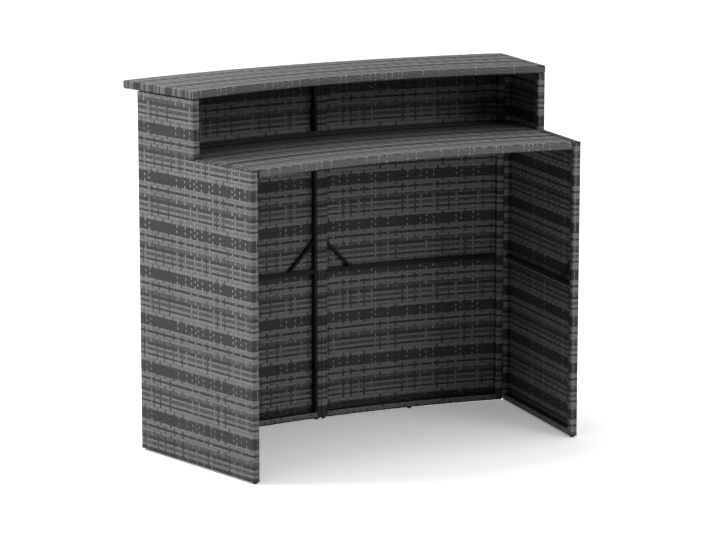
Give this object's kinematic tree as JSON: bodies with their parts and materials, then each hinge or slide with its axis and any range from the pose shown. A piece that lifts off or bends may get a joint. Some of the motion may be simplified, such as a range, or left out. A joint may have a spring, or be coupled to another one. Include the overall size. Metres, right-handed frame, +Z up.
{
  "type": "folding portable bar",
  "caption": "Bowed bar with woven panels on a steel frame, hinged front and side wings, a raised counter for guests and a lower worktop behind it for the server.",
  "frame": {"origin": "on the floor under the middle of the bar's outline", "axes": "+Z up, +Y towards the guests, +X to the right as the server stands behind the bar"},
  "size_m": [1.318, 0.6726, 1.1],
  "materials": {
    "weave_panel": "two-tone grey flat woven strip",
    "weave_top": "two-tone grey flat woven strip",
    "frame": "black powder coat",
    "hinges": "blackened zinc plate",
    "feet": "black moulded glide"
  },
  "bodies": {
    "front_right": {"front_right_bottom_rail": "frame", "front_right_brace": "frame", "front_right_end_post": "frame", "front_right_mid_rail": "frame", "front_right_middle_foot": "feet", "front_right_seam_foot": "feet", "front_right_seam_post": "frame", "front_right_skin": "weave_panel", "front_right_top_rail": "frame", "middle_low_hinge_right_leaf": "hinges", "middle_top_hinge_right_leaf": "hinges", "wing_right_low_hinge_front_leaf": "hinges", "wing_right_top_hinge_front_leaf": "hinges"},
    "front_left": {"front_left_bottom_rail": "frame", "front_left_brace": "frame", "front_left_end_post": "frame", "front_left_mid_rail": "frame", "front_left_middle_foot": "feet", "front_left_seam_foot": "feet", "front_left_seam_post": "frame", "front_left_skin": "weave_panel", "front_left_top_rail": "frame", "middle_low_hinge_left_leaf": "hinges", "middle_top_hinge_left_leaf": "hinges", "wing_left_low_hinge_front_leaf": "hinges", "wing_left_top_hinge_front_leaf": "hinges"},
    "wing_left": {"wing_left_bottom_rail": "frame", "wing_left_brace": "frame", "wing_left_far_post": "frame", "wing_left_foot": "feet", "wing_left_ledge": "frame", "wing_left_low_hinge_wing_leaf": "hinges", "wing_left_mid_rail": "frame", "wing_left_near_post": "frame", "wing_left_skin": "weave_panel", "wing_left_step_tube": "frame", "wing_left_top_hinge_wing_leaf": "hinges", "wing_left_top_rail": "frame"},
    "wing_right": {"wing_right_bottom_rail": "frame", "wing_right_brace": "frame", "wing_right_far_post": "frame", "wing_right_foot": "feet", "wing_right_ledge": "frame", "wing_right_low_hinge_wing_leaf": "hinges", "wing_right_mid_rail": "frame", "wing_right_near_post": "frame", "wing_right_skin": "weave_panel", "wing_right_step_tube": "frame", "wing_right_top_hinge_wing_leaf": "hinges", "wing_right_top_rail": "frame"},
    "counter": {"counter_far_rail": "frame", "counter_left_rail": "frame", "counter_near_rail": "frame", "counter_right_rail": "frame", "counter_skin": "weave_top"},
    "worktop": {"worktop_far_rail": "frame", "worktop_left_rail": "frame", "worktop_near_rail": "frame", "worktop_right_rail": "frame", "worktop_skin": "weave_top"}
  },
  "joints": [
    {"name": "centre_fold", "type": "hinge", "parent": "front_right", "child": "front_left", "pos_m": [0, 0.27949, 0], "axis": [0, 0, -1], "range_deg": [0, 180]},
    {"name": "left_wing_fold", "type": "hinge", "parent": "front_left", "child": "wing_left", "pos_m": [-0.62401, 0.20495, 0], "axis": [0, 0, -1], "range_deg": [0, 100]},
    {"name": "right_wing_fold", "type": "hinge", "parent": "front_right", "child": "wing_right", "pos_m": [0.62401, 0.20495, 0], "axis": [0, 0, 1], "range_deg": [0, 100]},
    {"name": "counter_lift", "type": "slide", "parent": "front_right", "child": "counter", "axis": [0, 0, 1], "range_m": [0, 0.3]},
    {"name": "worktop_lift", "type": "slide", "parent": "front_right", "child": "worktop", "axis": [0, 0, 1], "range_m": [0, 0.15]}
  ]
}
